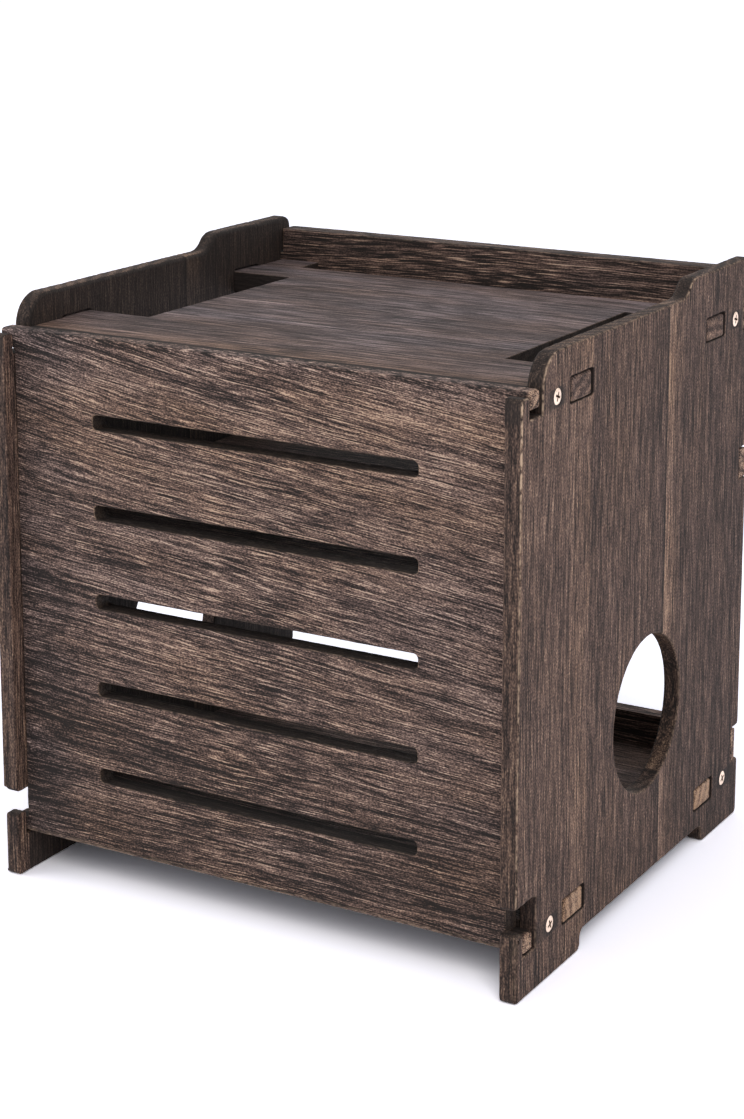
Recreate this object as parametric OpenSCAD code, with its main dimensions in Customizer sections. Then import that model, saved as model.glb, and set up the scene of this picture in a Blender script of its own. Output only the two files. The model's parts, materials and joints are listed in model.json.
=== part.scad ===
// Router storage box in dark carbonised wood, with a lift-off slotted front panel.
// Two side panels carry a top board, a bottom board, a middle shelf and three rear rails.
// The origin is on the floor under the middle of the box, +X to its right, +Z up, front towards -Y.

/* [Side panels] */
// Width of the box over both side panels
case_w = 300; // [240:1:360]
// Depth of a side panel, front edge to rear edge
case_d = 271; // [262:1:300]
// Height of a side panel at its taller rear level
case_h = 315; // [305:1:360]
// Thickness of a side panel
side_t = 9; // [8:0.5:12]
// How much lower the front level of the top edge is than the rear level
step_h = 9; // [4:0.5:14]
// Distance from the front edge to the start of the curved step in the top edge
step_y = 178; // [150:1:185]
// Length of the curved step in the top edge
step_l = 19; // [16.5:0.5:40]
// Radius of the rounded shoulder at the front of the top edge
shoulder_r = 16.5; // [6:0.5:20]
// Radius of the outer corners at the floor
foot_corner_r = 3; // [1:0.5:6]
// Radius of the rear top corner
rear_corner_r = 6; // [1:0.5:10]

/* [Feet] */
// Length of the front foot along the side panel
front_foot_l = 70; // [50:1:90]
// Length of the rear foot along the side panel
rear_foot_l = 50; // [35:1:70]
// Height of the arch between the feet
arch_h = 10; // [7:0.5:14]
// Radius of the blends at both ends of the arch
arch_r = 4; // [1:0.5:5]

/* [Cable port] */
// Diameter of the round cable port in each side panel
port_d = 81; // [40:1:90]
// Distance from the front edge to the centre of the port
port_y = 145.5; // [130:0.5:160]
// Height of the centre of the port above the floor
port_z = 98; // [90:0.5:110]

/* [Boards] */
// Thickness of the top board, the bottom board and the shelf
board_t = 12; // [10:0.5:14]
// Height of the bottom board's underside above the floor
bottom_z = 21; // [16:0.5:26]
// Height of the front level of the side panels above the top board's upper face
rim_h = 16; // [12:0.5:22]
// Height of the shelf's underside above the floor
shelf_z = 182.4; // [170:0.2:200]
// Depth of the grooves that hold the shelf
groove_d = 3; // [2:0.5:5]
// Gap between the shelf and the middle rail, for cables
shelf_back_gap = 11; // [4:0.5:30]
// Length of a through tenon along the board's edge
tenon_l = 24; // [15:0.5:26]
// Distance from the front edge to the front tenon
tenon_y = 49.3; // [44:0.1:56]
// Distance from the rear tenon to the rear edge
rear_tenon_inset = 36.7; // [32:0.1:48]

/* [Antenna notches] */
// Width of a side notch, measured inwards from the side panel
side_notch_w = 37; // [15:0.5:50]
// Length of the rear notch, measured forwards from the rear rail
rear_notch_l = 19; // [10:0.5:21]
// Width of the ears on both sides of the rear notch
ear_w = 25; // [14:0.5:60]

/* [Front panel] */
// Thickness of the front panel and its tabs
front_t = 11; // [9:0.5:14]
// Height of the front panel's upper edge above the top board's upper face
front_rise = 1.2; // [0:0.2:6]
// Height of a tab
tab_h = 9; // [7:0.2:11]
// Radius of the front panel's lower front edge
front_low_r = 4; // [1:0.5:5]
// Radius of the front panel's other long edges
front_edge_r = 2.4; // [0.6:0.2:3]
// Number of vent slots
vent_n = 5; // [1:1:5]
// Length of a vent slot
vent_l = 185; // [60:1:200]
// Height of a vent slot
vent_h = 7.4; // [5.8:0.2:12]
// Distance between vent slots, centre to centre
vent_pitch = 46.4; // [20:0.2:48]
// Distance from the front panel's upper edge to the first vent slot
vent_drop = 39; // [25:0.2:44]
// Radius of the corners of a vent slot
vent_r = 2.4; // [0.8:0.1:2.8]

/* [Hooks] */
// Thickness of the lip in front of a hook slot
lip_t = 7.8; // [5:0.2:10]
// Height of the floor of the lower hook slot above the floor of the room
hook_z = 21.5; // [15:0.5:24]
// Height of the lower lip above its slot's floor
low_lip_h = 12.9; // [10:0.1:14]
// Height of the upper lip above its slot's floor
top_lip_h = 10.5; // [7:0.1:12]
// Radius of the eased corners of lips and notches
lip_r = 2.4; // [1:0.2:3]

/* [Rear rails] */
// Depth of the notches that take the rails' tabs
rail_seat = 10; // [8:0.5:12]
// Thickness of the top rail
top_rail_t = 13; // [10:0.5:14]
// Height of the top rail
top_rail_h = 32; // [22:0.5:35]
// Height of the top rail's tabs
top_rail_tab_h = 17.5; // [12:0.5:20]
// How far the top rail reaches below the top board's underside
top_rail_drop = 1.5; // [0:0.5:6]
// Height of the middle rail
mid_rail_h = 16; // [12:0.5:30]
// Thickness of the middle rail's tabs
mid_rail_tab_t = 8.4; // [6:0.2:10]
// Height of the bottom rail
low_rail_h = 18; // [12:0.5:30]
// Thickness of the bottom rail's tabs
low_rail_tab_t = 5; // [4:0.2:10]
// Thickness of the middle and bottom rails
rail_t = 10; // [8:0.5:12]

/* [Screws] */
// Distance from the front edge to the front screws
screw_front_y = 36; // [32:0.5:38]
// Distance from the rear edge to the rear screws
screw_rear_y = 21; // [18:0.5:26]
// Diameter of a case screw's head
screw_head_d = 8.4; // [6:0.1:9]
// Diameter of a case screw's shank
screw_d = 3.5; // [3:0.1:4.5]
// Length of a case screw
screw_l = 30; // [20:1:40]
// Diameter of a rail screw's head
rail_screw_head_d = 6.4; // [5:0.1:7]
// Diameter of a rail screw's shank
rail_screw_d = 3; // [2.5:0.1:3.5]
// Length of a rail screw
rail_screw_l = 20; // [16:0.5:22]

/* [Clearances] */
// Gap between the front panel and each side panel
front_side_gap = 0.8; // [0.3:0.1:2]
// Gap between the front panel and the lips in front of it
hook_gap = 0.3; // [0.3:0.1:1]
// Play of a tab towards the rear of its slot
hook_play = 1.6; // [0.5:0.1:2.6]
// Gap under an upper tab, so that the lower tabs carry the panel
upper_tab_gap = 3.4; // [1:0.2:4]
// Gap between a lower tab and the lip below it when the panel is fully lifted
lift_gap = 2.4; // [0.4:0.1:3]
// Gap above a lower tab when the panel is fully lifted
ceiling_gap = 0.4; // [0.3:0.1:1.5]
// Gap between a tab's end and the outer face of the side panel
tab_end_gap = 0.4; // [0:0.1:1]
// Gap at the ends of a tenon in its mortise
mortise_gap = 0.6; // [0.1:0.1:1]
// Gap above a tenon in its mortise
mortise_top_gap = 0.8; // [0.1:0.1:1]
// Gap around the shelf's edges in their grooves
groove_gap = 0.3; // [0.1:0.1:0.6]
// Gap above a rail's tab in its notch
rail_gap = 0.8; // [0.2:0.1:1.5]
// Gap around a screw in its hole
screw_gap = 0.15; // [0.1:0.05:0.3]

/* [Hidden] */
$fn = 64;
over = 1;
wood_dark = "#4a3832";
wood_mid = "#5a473f";
wood_grey = "#6b5a54";
brass = "#c9a07a";

half_w = case_w / 2;
inner_x = half_w - side_t;
front_level_z = case_h - step_h;
step_end_y = step_y + step_l;
step_r = (step_l * step_l + step_h * step_h) / (4 * step_h);

top_z = front_level_z - rim_h - board_t;
shelf_top_z = shelf_z + board_t;
bottom_top_z = bottom_z + board_t;
rear_tenon_y = case_d - rear_tenon_inset - tenon_l;
rear_screw_y = case_d - screw_rear_y;
rail_y = case_d - rail_seat;

// The front panel hangs behind the lips, on the floors of the lower hook slots.
front_y = lip_t + hook_gap;
slot_rear_y = front_y + front_t + hook_play;
shelf_l = rail_y - slot_rear_y - shelf_back_gap;
front_top_z = top_z + board_t + front_rise;
front_half_w = inner_x - front_side_gap;
tab_half_w = half_w - tab_end_gap;
low_lip_z = hook_z + low_lip_h;
lift = low_lip_h + lift_gap;
hook_ceiling_z = hook_z + tab_h + lift + ceiling_gap;
upper_slot_z = front_top_z - tab_h - upper_tab_gap;
upper_lip_z = upper_slot_z + top_lip_h;

low_rail_z = bottom_top_z;
mid_rail_z = shelf_top_z;
top_rail_z = top_z - top_rail_drop;
rail_screw_x = half_w - side_t / 2;

screw_head_h = (screw_head_d - screw_d) / 2;
rail_screw_head_h = (rail_screw_head_d - rail_screw_d) / 2;

// The row's origin lies under the middle of the box, its overall depth counted with the top rail.
overall_d = rail_y + top_rail_t;
module placed() {
  translate([0, -overall_d / 2, 0]) children();
}

// Draws what belongs to the right half and its mirror image on the left.
module both_sides() {
  children();
  mirror([1, 0, 0]) children();
}

// What a corner of radius r leaves outside its arc; material or gap lies up and to the right of p.
module corner(p, quarter_turns, r) {
  translate(p)
    rotate(90 * quarter_turns)
      difference() {
        translate([-over, -over]) square([r + over, r + over]);
        translate([r, r]) circle(r);
      }
}

// The same shape kept inside its corner, to fill an inner corner.
module fillet(p, quarter_turns, r) {
  translate(p)
    rotate(90 * quarter_turns)
      difference() {
        square([r, r]);
        translate([r, r]) circle(r);
      }
}

// Draws a profile given in Y and Z as a plate that starts at x and is t thick towards +X.
module plate_x(x, t) {
  translate([x, 0, 0]) rotate([90, 0, 90]) linear_extrude(t) children();
}

// Draws a profile given in X and Z as a plate that starts at y and is t thick towards +Y.
module plate_y(y, t) {
  translate([0, y + t, 0]) rotate([90, 0, 0]) linear_extrude(t) children();
}

// Gently curved step from the front level up to the rear level of the top edge.
module top_step() {
  mid_y = step_y + step_l / 2;
  mid_z = front_level_z + step_h / 2;
  difference() {
    translate([step_y, front_level_z - over]) square([step_l / 2, step_h / 2 + over]);
    translate([step_y, front_level_z + step_r]) circle(step_r, $fn = 128);
  }
  intersection() {
    translate([mid_y, front_level_z - over]) square([step_l / 2, step_h + over]);
    translate([step_end_y, case_h - step_r]) circle(step_r, $fn = 128);
  }
}

module upper_hook_cut() {
  translate([-over, upper_lip_z]) square([slot_rear_y + over, case_h]);
  translate([lip_t, upper_slot_z]) square([slot_rear_y - lip_t, case_h]);
  corner([0, upper_lip_z], 3, lip_r);
  corner([lip_t, upper_lip_z], 2, lip_r);
  corner([slot_rear_y, front_level_z], 3, shoulder_r);
}

module lower_hook_cut() {
  translate([-over, low_lip_z]) square([slot_rear_y + over, hook_ceiling_z - low_lip_z]);
  translate([lip_t, hook_z]) square([slot_rear_y - lip_t, hook_ceiling_z - hook_z]);
  corner([0, low_lip_z], 3, lip_r);
  corner([lip_t, low_lip_z], 2, lip_r);
  corner([0, hook_ceiling_z], 0, lip_r);
}

module arch_cut() {
  arch_l = case_d - front_foot_l - rear_foot_l;
  difference() {
    translate([front_foot_l, -over]) square([arch_l, arch_h + over]);
    fillet([front_foot_l, arch_h], 3, arch_r);
    fillet([front_foot_l + arch_l, arch_h], 2, arch_r);
  }
  corner([front_foot_l, 0], 1, arch_r);
  corner([front_foot_l + arch_l, 0], 0, arch_r);
}

// Open notch in the rear edge for a rail's tab, its mouth eased.
module rail_notch(z, h) {
  translate([rail_y, z]) square([rail_seat + over, h]);
  corner([case_d, z], 2, lip_r);
  corner([case_d, z + h], 1, lip_r);
}

module mortises(z) {
  for (y = [tenon_y, rear_tenon_y])
    translate([y - mortise_gap, z])
      square([tenon_l + 2 * mortise_gap, board_t + mortise_top_gap]);
}

module side_profile() {
  difference() {
    union() {
      square([case_d, front_level_z]);
      translate([step_end_y, 0]) square([case_d - step_end_y, case_h]);
      top_step();
    }
    upper_hook_cut();
    lower_hook_cut();
    arch_cut();
    rail_notch(low_rail_z, low_rail_h + rail_gap);
    rail_notch(mid_rail_z, mid_rail_h + rail_gap);
    rail_notch(top_rail_z, top_rail_tab_h + rail_gap);
    mortises(bottom_z);
    mortises(top_z);
    translate([port_y, port_z]) circle(port_d / 2, $fn = 96);
    corner([0, 0], 0, foot_corner_r);
    corner([case_d, 0], 1, foot_corner_r);
    corner([case_d, case_h], 2, rear_corner_r);
  }
}

// A countersunk screw pointing down, its flat head at z = 0; with a gap it is the hole for one.
module screw_body(head_d, head_h, d, l, gap) {
  rotate_extrude()
    polygon([
      [0, gap > 0 ? over : 0],
      [head_d / 2 + gap, gap > 0 ? over : 0],
      [head_d / 2 + gap, 0],
      [d / 2 + gap, -head_h - gap],
      [d / 2 + gap, -l + d - gap],
      [0, -l - gap]
    ]);
}

module cross_recess(head_d) {
  recess_l = head_d * 0.55;
  recess_w = head_d * 0.13;
  recess_h = head_d * 0.14;
  for (turn = [0, 90])
    rotate(turn)
      translate([-recess_l / 2, -recess_w / 2, -recess_h]) cube([recess_l, recess_w, recess_h + over]);
}

module case_screw(gap) {
  screw_body(screw_head_d, screw_head_h, screw_d, screw_l, gap);
}

module rail_screw(gap) {
  screw_body(rail_screw_head_d, rail_screw_head_h, rail_screw_d, rail_screw_l, gap);
}

// Places what is drawn along -Z at each case screw of the right side, pointing into the boards.
module at_right_case_screws() {
  for (y = [screw_front_y, rear_screw_y])
    for (z = [bottom_z + board_t / 2, top_z + board_t / 2])
      translate([half_w, y, z]) rotate([0, 90, 0]) children();
}

module at_case_screws() {
  both_sides() at_right_case_screws() children();
}

// Each rail screw's place on the right side: its height and the rear face of the tab that it holds.
function right_rail_screws() = [
  [low_rail_z + low_rail_h / 2, rail_y + low_rail_tab_t],
  [mid_rail_z + mid_rail_h / 2, rail_y + mid_rail_tab_t],
  [top_rail_z + top_rail_tab_h / 2, rail_y + top_rail_t]
];

module at_right_rail_screws() {
  for (place = right_rail_screws())
    translate([rail_screw_x, place[1], place[0]]) rotate([-90, 0, 0]) children();
}

module at_rail_screws() {
  both_sides() at_right_rail_screws() children();
}

module shelf_groove() {
  translate([inner_x - over, slot_rear_y - groove_gap, shelf_z - groove_gap])
    cube([groove_d + over, shelf_l + 2 * groove_gap, board_t + 2 * groove_gap]);
}

module side_panel_right() {
  difference() {
    plate_x(inner_x, side_t) side_profile();
    shelf_groove();
    at_right_case_screws() case_screw(screw_gap);
    at_right_rail_screws() rail_screw(screw_gap);
  }
}

module right_side_panel() {
  color(wood_mid) placed() side_panel_right();
}

module left_side_panel() {
  color(wood_mid) placed() mirror([1, 0, 0]) side_panel_right();
}

module front_outline() {
  front_h = front_top_z - hook_z;
  translate([-front_half_w, hook_z]) square([2 * front_half_w, front_h]);
  translate([-tab_half_w, hook_z]) square([2 * tab_half_w, tab_h]);
  translate([-tab_half_w, front_top_z - tab_h]) square([2 * tab_half_w, tab_h]);
}

module vent_slot(z) {
  difference() {
    translate([-vent_l / 2, z]) square([vent_l, vent_h]);
    corner([-vent_l / 2, z], 0, vent_r);
    corner([vent_l / 2, z], 1, vent_r);
    corner([vent_l / 2, z + vent_h], 2, vent_r);
    corner([-vent_l / 2, z + vent_h], 3, vent_r);
  }
}

module vent_slots() {
  for (i = [0 : vent_n - 1])
    vent_slot(front_top_z - vent_drop - vent_h - i * vent_pitch);
}

module front_section() {
  rear_y = front_y + front_t;
  difference() {
    translate([front_y, hook_z]) square([front_t, front_top_z - hook_z]);
    corner([front_y, hook_z], 0, front_low_r);
    corner([rear_y, hook_z], 1, front_edge_r);
    corner([rear_y, front_top_z], 2, front_edge_r);
    corner([front_y, front_top_z], 3, front_edge_r);
  }
}

module front_panel() {
  color(wood_dark) placed()
    intersection() {
      plate_y(front_y, front_t)
        difference() {
          front_outline();
          vent_slots();
        }
      plate_x(-half_w, case_w) front_section();
    }
}

// Tenons that reach the outer faces of both side panels.
module tenons() {
  for (y = [tenon_y, rear_tenon_y])
    translate([-half_w, y]) square([case_w, tenon_l]);
}

// The side notches run from the front tenon to the rear one.
module top_board_outline() {
  side_notch_y = tenon_y + tenon_l;
  difference() {
    union() {
      translate([-inner_x, slot_rear_y]) square([2 * inner_x, rail_y - slot_rear_y]);
      tenons();
    }
    both_sides()
      translate([inner_x - side_notch_w, side_notch_y])
        square([side_notch_w + over, rear_tenon_y - side_notch_y]);
    translate([ear_w - inner_x, rail_y - rear_notch_l])
      square([2 * (inner_x - ear_w), rear_notch_l + over]);
  }
}

module top_board() {
  color(wood_grey) placed()
    difference() {
      translate([0, 0, top_z]) linear_extrude(board_t) top_board_outline();
      at_case_screws() case_screw(screw_gap);
    }
}

module bottom_board() {
  color(wood_mid) placed()
    difference() {
      translate([0, 0, bottom_z])
        linear_extrude(board_t) {
          translate([-inner_x, slot_rear_y]) square([2 * inner_x, case_d - slot_rear_y]);
          tenons();
        }
      at_case_screws() case_screw(screw_gap);
    }
}

module middle_shelf() {
  shelf_half_w = inner_x + groove_d - groove_gap;
  color(wood_mid) placed()
    translate([-shelf_half_w, slot_rear_y, shelf_z]) cube([2 * shelf_half_w, shelf_l, board_t]);
}

// A rail between the side panels, its two tabs let into their rear edges.
module rail(z, body_h, t, this_tab_h, tab_t) {
  difference() {
    union() {
      translate([-inner_x, rail_y, z]) cube([2 * inner_x, t, body_h]);
      translate([-half_w, rail_y, z]) cube([case_w, tab_t, this_tab_h]);
    }
    at_rail_screws() rail_screw(screw_gap);
  }
}

module rear_top_rail() {
  color(wood_dark) placed() rail(top_rail_z, top_rail_h, top_rail_t, top_rail_tab_h, top_rail_t);
}

module rear_middle_rail() {
  color(wood_mid) placed() rail(mid_rail_z, mid_rail_h, rail_t, mid_rail_h, mid_rail_tab_t);
}

module rear_bottom_rail() {
  color(wood_dark) placed() rail(low_rail_z, low_rail_h, rail_t, low_rail_h, low_rail_tab_t);
}

module case_screws() {
  color(brass) placed()
    at_case_screws()
      difference() {
        case_screw(0);
        cross_recess(screw_head_d);
      }
}

module rail_screws() {
  color(brass) placed()
    at_rail_screws()
      difference() {
        rail_screw(0);
        cross_recess(rail_screw_head_d);
      }
}

left_side_panel();
right_side_panel();
front_panel();
top_board();
bottom_board();
middle_shelf();
rear_top_rail();
rear_middle_rail();
rear_bottom_rail();
case_screws();
rail_screws();
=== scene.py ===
# Router storage box: the looks of its charred, brushed boards and brass screws.
import json
import math
from collections import Counter

import bmesh
import bpy
from bpy.props import FloatProperty, FloatVectorProperty, IntProperty, PointerProperty
from mathutils import Matrix, Vector, noise
from mathutils.geometry import tessellate_polygon


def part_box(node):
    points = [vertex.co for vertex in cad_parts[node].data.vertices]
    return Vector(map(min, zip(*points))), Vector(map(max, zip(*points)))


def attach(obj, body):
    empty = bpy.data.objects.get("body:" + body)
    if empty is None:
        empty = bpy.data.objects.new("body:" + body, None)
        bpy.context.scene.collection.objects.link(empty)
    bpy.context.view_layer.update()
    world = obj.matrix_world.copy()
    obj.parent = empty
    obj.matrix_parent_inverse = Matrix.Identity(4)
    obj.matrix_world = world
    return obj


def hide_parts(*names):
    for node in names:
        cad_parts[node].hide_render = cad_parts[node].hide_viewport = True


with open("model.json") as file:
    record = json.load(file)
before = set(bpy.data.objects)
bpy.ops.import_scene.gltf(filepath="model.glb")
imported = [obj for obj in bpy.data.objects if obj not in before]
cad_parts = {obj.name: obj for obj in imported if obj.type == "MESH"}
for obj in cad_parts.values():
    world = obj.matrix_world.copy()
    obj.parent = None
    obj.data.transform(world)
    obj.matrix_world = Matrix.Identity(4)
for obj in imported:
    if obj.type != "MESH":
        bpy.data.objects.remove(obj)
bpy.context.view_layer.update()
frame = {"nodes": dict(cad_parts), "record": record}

bl_info = {
    "name": "Router storage box",
    "version": (1, 0, 0),
    "blender": (4, 5, 0),
    "location": "View3D > Sidebar > Router Box",
    "description": "Charred and brushed wooden box with a lift-off slotted front",
    "category": "Object",
}

MM = 0.001
# Points closer than this are one point, and points this near to an edge of a piece belong to that edge.
TOUCH = 0.01 * MM
NEAR = 1 * MM
X, Y, Z = 0, 1, 2
# Height of the photograph and of the camera's middle line in it, in pixels.
PHOTO_H = 1119
MIDDLE_LINE = 336

# How each kind of board took the char and the brush. Tone lifts the whole board, and span is the range of
# tones between burnt and bare wood. Grit, bristle, dashes, lines, streaks and patches are the weights of
# specks, scratched fibres, light dashes, dark lines in the grain, soft streaks and wide patches. Slopes
# are those of the fibres at the board's lower and upper edge, drift is how far they wander in millimetres.
# Rub is how pale worn edges are, end how light end grain is, inner how far painted shade darkens the faces
# # inside the box, and joints are glue lines between staves. Bands run across the board and ends along it:
# each
# # has a place in millimetres with its honey, grey and lightness. A spot has its place, its reach and its
# lightness.
FRONT_LOOK = {
    "tone": -0.03, "span": 0.8, "grit": 0.85, "bristle": 0.3, "dashes": 0.2, "dash_mm": 4.5, "lines": 0.36,
    "streaks": 0.4, "patches": 0.3, "slopes": (0.02, 0.16), "drift": 16, "rub": 0.8, "end": 0.35, "inner": 1,
    "bands": (
        (21, (0.5, 0.3, 0.38)), (55, (0.5, 0.3, 0.4)), (80, (0.4, 0.3, 0.39)), (110, (0.4, 0.3, 0.46)),
        (165, (0.2, 0.4, 0.45)), (215, (0.3, 0.3, 0.5)), (262, (0.6, 0.2, 0.5)), (291, (0.3, 0.4, 0.46)),
    ),
    "ends": (
        (-150, (0, 0.3, 0.34)), (-120, (0, 0.2, 0.35)), (-95, (0, 0, 0.47)), (150, (0, 0, 0.49)),
    ),
    "spots": (
        (96, 262, 60, 0.1), (-20, 236, 50, 0.04), (110, 50, 70, -0.1), (152, 284, 14, -0.3),
        (-152, 284, 14, -0.3),
    ),
}
SIDE_LOOK = {
    "tone": -0.08, "span": 0.84, "grit": 0.75, "bristle": 0.1, "dashes": 0.2, "dash_mm": 4, "lines": 0.22,
    "streaks": 0.3, "patches": 0.15, "slopes": (0, 0), "drift": 12, "rub": 0.9, "end": 0, "inner": 0.9,
    "joints": (-64, 25),
    "bands": (
        (-137, (0.4, 0, 0.49)), (-100, (0.4, 0, 0.46)), (-84, (0.6, 0, 0.5)), (-64.2, (0.9, 0, 0.56)),
        (-63.8, (0.4, 0, 0.42)), (-30, (0.6, 0, 0.47)), (22.6, (0.3, 0, 0.4)), (24, (0, 0, 0.08)),
        (24.9, (0, 0, 0.08)), (25.1, (1, 0, 0.76)), (32, (0.9, 0, 0.6)), (46, (0.4, 0, 0.4)),
        (134, (0.3, 0, 0.36)),
    ),
    "ends": ((0, (0.1, 0, 0.45)), (52, (0, 0, 0.47)), (90, (0, 0, 0.5)), (315, (0.1, 0, 0.5))),
    "spots": ((200, 10, 60, -0.03), (140, -100, 50, -0.02)),
}
TOP_LOOK = {
    "tone": -0.12, "span": 0.95, "grit": 0.3, "bristle": 0.1, "dashes": 0.1, "dash_mm": 12, "lines": 0.22,
    "streaks": 0.5, "patches": 0.35, "slopes": (0, 0), "drift": 20, "rub": 0.5, "end": 0.05, "inner": 0.9,
    "bands": (
        # The first two bands paint shade: a dark line along the board's front edge, in the gap behind the
        # front panel's top.
        (-116.4, (0, 0, -0.3)), (-112.4, (0, 0, -0.3)), (-111.6, (0.9, 0.1, 0.57)), (-106, (0.7, 0.2, 0.56)),
        (-97, (0.3, 0.6, 0.49)), (-40, (0, 1, 0.46)), (124, (0, 1, 0.48)),
    ),
    "ends": ((-150, (0, 0, 0.5)), (150, (0, 0, 0.5))),
}
INNER_LOOK = {
    "tone": -0.22, "span": 0.8, "grit": 0.5, "bristle": 0.2, "dashes": 0.2, "dash_mm": 8, "lines": 0.1,
    "streaks": 0.5, "patches": 0.35, "slopes": (0, 0), "drift": 20, "rub": 0.3, "end": 0.46, "inner": 0.9,
    "bands": ((-120, (0.3, 0.4, 0.5)), (134, (0.3, 0.4, 0.5))),
    "ends": ((-150, (1, 0, 0.5)), (-140, (0.3, 0, 0.5)), (140, (0.3, 0, 0.5)), (150, (1, 0, 0.5))),
}
RAIL_LOOK = {
    "tone": -0.2, "span": 0.75, "grit": 0.4, "bristle": 0.3, "dashes": 0.1, "dash_mm": 12, "lines": 0.3,
    "streaks": 0.5, "patches": 0.35, "slopes": (0, 0), "drift": 12, "rub": 0.4, "end": 0.3, "inner": 0,
    "bands": ((0, (0.3, 0.2, 0.5)), (320, (0.3, 0.2, 0.5))),
    "ends": ((-150, (0, 0, 0.5)), (150, (0, 0, 0.5))),
}
# Up to this Y in millimetres the side panels' inner faces stay brushed and get no painted shade, where they
# show from the front.
LIP_Y = -128
# Millimetres by which the grain of each next stave is moved along, so that no two staves look alike.
STAVE_SHIFT = 431.0
# Sum of the mean tones of a board's layers, which puts a tone of 0 in the middle of the wood's colours.
MEAN_TONE = 1.255
# A round loop whose radius is less than this part of a screw head's diameter is the hole of that screw.
SCREW_HOLE = 0.6


def srgb(code):
    """Turns an sRGB hex value such as 5a473f into linear red, green and blue."""
    parts = [int(code[i:i + 2], 16) / 255 for i in (0, 2, 4)]
    return [v / 12.92 if v <= 0.04045 else ((v + 0.055) / 1.055) ** 2.4 for v in parts]


def colour(name, description, code):
    """A colour property with its default given as sRGB hex."""
    return FloatVectorProperty(
        name=name, description=description, default=srgb(code), size=3, min=0, max=1, subtype="COLOR"
    )


def length(name, description, default_mm):
    """A length property in metres with its default given in millimetres."""
    return FloatProperty(
        name=name, description=description, default=default_mm * MM, min=0, precision=5,
        subtype="DISTANCE", unit="LENGTH",
    )


class BoardSizes(bpy.types.PropertyGroup):
    """How the sawn boards are eased and worn."""

    ease: length("Ease", "Radius of the sanded edges of a board", 1.1)
    rim_ease: length("Rim ease", "Radius of the inner edge along the top of a side panel", 2.4)
    panel_ease: length("Panel ease", "Radius of the front panel's top edges and lower rear edge", 2.4)
    panel_low_ease: length("Panel lower ease", "Radius of the front panel's lower front edge", 4)
    slot_ease: length("Slot ease", "Radius of the edges of a vent slot", 0.8)
    side_gap: length("Side gap", "Gap that shows between the front panel and each side panel", 0.4)
    cut_ease: length("Cut ease", "Radius of the edges of mortises and of the boards' upper edges", 0.5)
    hook_ease: length("Hook ease", "Radius of the outer edges at the lower hooks and feet", 3.2)
    tenon_ease: length("Tenon ease", "Radius of a tenon's long edges and corners", 2.8)
    tab_ease: length("Tab ease", "Radius of the edges at the ends of the front panel's tabs", 2)
    root: length("Root", "Radius of the inner corners under the front panel's upper tabs", 3.3)
    corner: length("Corner", "Radius of the corners of mortises and of the front panel's tabs", 1.6)
    point_gap: length("Point spacing", "Distance between points along a board's edge", 2)
    side_chip: length("Side wear", "Depth of wear on edges that run with the grain", 0.18)
    end_chip: length("End wear", "Depth of wear on edges that cross the grain", 0.4)
    groove_gap: length("Groove gap", "Gap around the shelf in its grooves", 0.3)
    ease_steps: IntProperty(name="Ease steps", description="Facets across an eased edge", default=4, min=1)


class ScrewSizes(bpy.types.PropertyGroup):
    """Sizes of the countersunk screws that the frame doesn't hold."""

    case_head: length("Case screw head", "Diameter of a case screw's head", 8.4)
    case_shank: length("Case screw shank", "Diameter of a case screw's shank", 3.5)
    rail_head: length("Rail screw head", "Diameter of a rail screw's head", 6.4)
    rail_shank: length("Rail screw shank", "Diameter of a rail screw's shank", 3)
    crown: length("Crown", "Height of the rounded top of a head", 0.35)
    recess_depth: length("Recess depth", "Depth of the cross recess in a screw's head", 1.5)
    recess_arm: FloatProperty(
        name="Cross arm", description="Length of an arm as a part of the head's radius", default=0.56
    )
    recess_web: FloatProperty(
        name="Cross web", description="Half width of an arm as a part of the head's radius", default=0.13
    )
    start_turn: FloatProperty(
        name="First turn", description="Angle of the first screw's cross", default=0.2, subtype="ANGLE"
    )
    next_turn: FloatProperty(
        name="Next turn", description="Further turn of each next cross", default=0.83, subtype="ANGLE"
    )
    gap: length("Screw gap", "Gap around a screw in its hole", 0.25)


class BoxColours(bpy.types.PropertyGroup):
    """Colours of the charred wood and of the brass."""

    # Cut faces and faces inside the box are darkened towards char, partly as painted shade.
    char: colour("Char", "Burnt wood left in the grain and on cut faces", "1e1714")
    dark: colour("Dark wood", "Softer early wood, burnt and brushed out", "42322c")
    brown: colour("Brown wood", "Middle tone of the brushed face", "6c554c")
    tan: colour("Tan wood", "Hard late wood that the brush laid bare", "a0806d")
    pale: colour("Pale fibre", "Freshly worn fibres", "d0b196")
    grey: colour("Grey bloom", "Greyish violet cast of weathered char", "6c6265")
    honey: colour("Honey", "Yellowish cast where the brush went deeper", "8f6a4a")
    brass: colour("Brass", "Pale brass of the screws", "ffe6cf")
    # Tarnish is also the colour of the painted shade in the screws' cross recesses.
    tarnish_and_shade: colour("Tarnish", "Tarnish in the recess of a screw", "3a2a20")


def add(tree, kind, inputs=(), out=0, stops=(), **settings):
    """Adds one node with its settings, colour stops and inputs, values or links, and returns an output."""
    made = tree.nodes.new("ShaderNode" + kind)
    for key, value in settings.items():
        setattr(made, key, value)
    for place, tint in stops[2:]:
        made.color_ramp.elements.new(place)
    for element, (place, tint) in zip(made.color_ramp.elements if stops else (), stops):
        element.position = place
        element.color = (*tint, 1)
    for key, value in dict(inputs).items():
        if isinstance(value, bpy.types.NodeSocket):
            tree.links.new(value, made.inputs[key])
        else:
            made.inputs[key].default_value = value
    return made.outputs[out] if made.outputs else made


def new_material(name, tint):
    """An empty node material that shows tint in the viewport."""
    material = bpy.data.materials.new(name)
    material.use_nodes = True
    material.diffuse_color = (*tint, 1)
    material.node_tree.nodes.clear()
    return material


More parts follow.
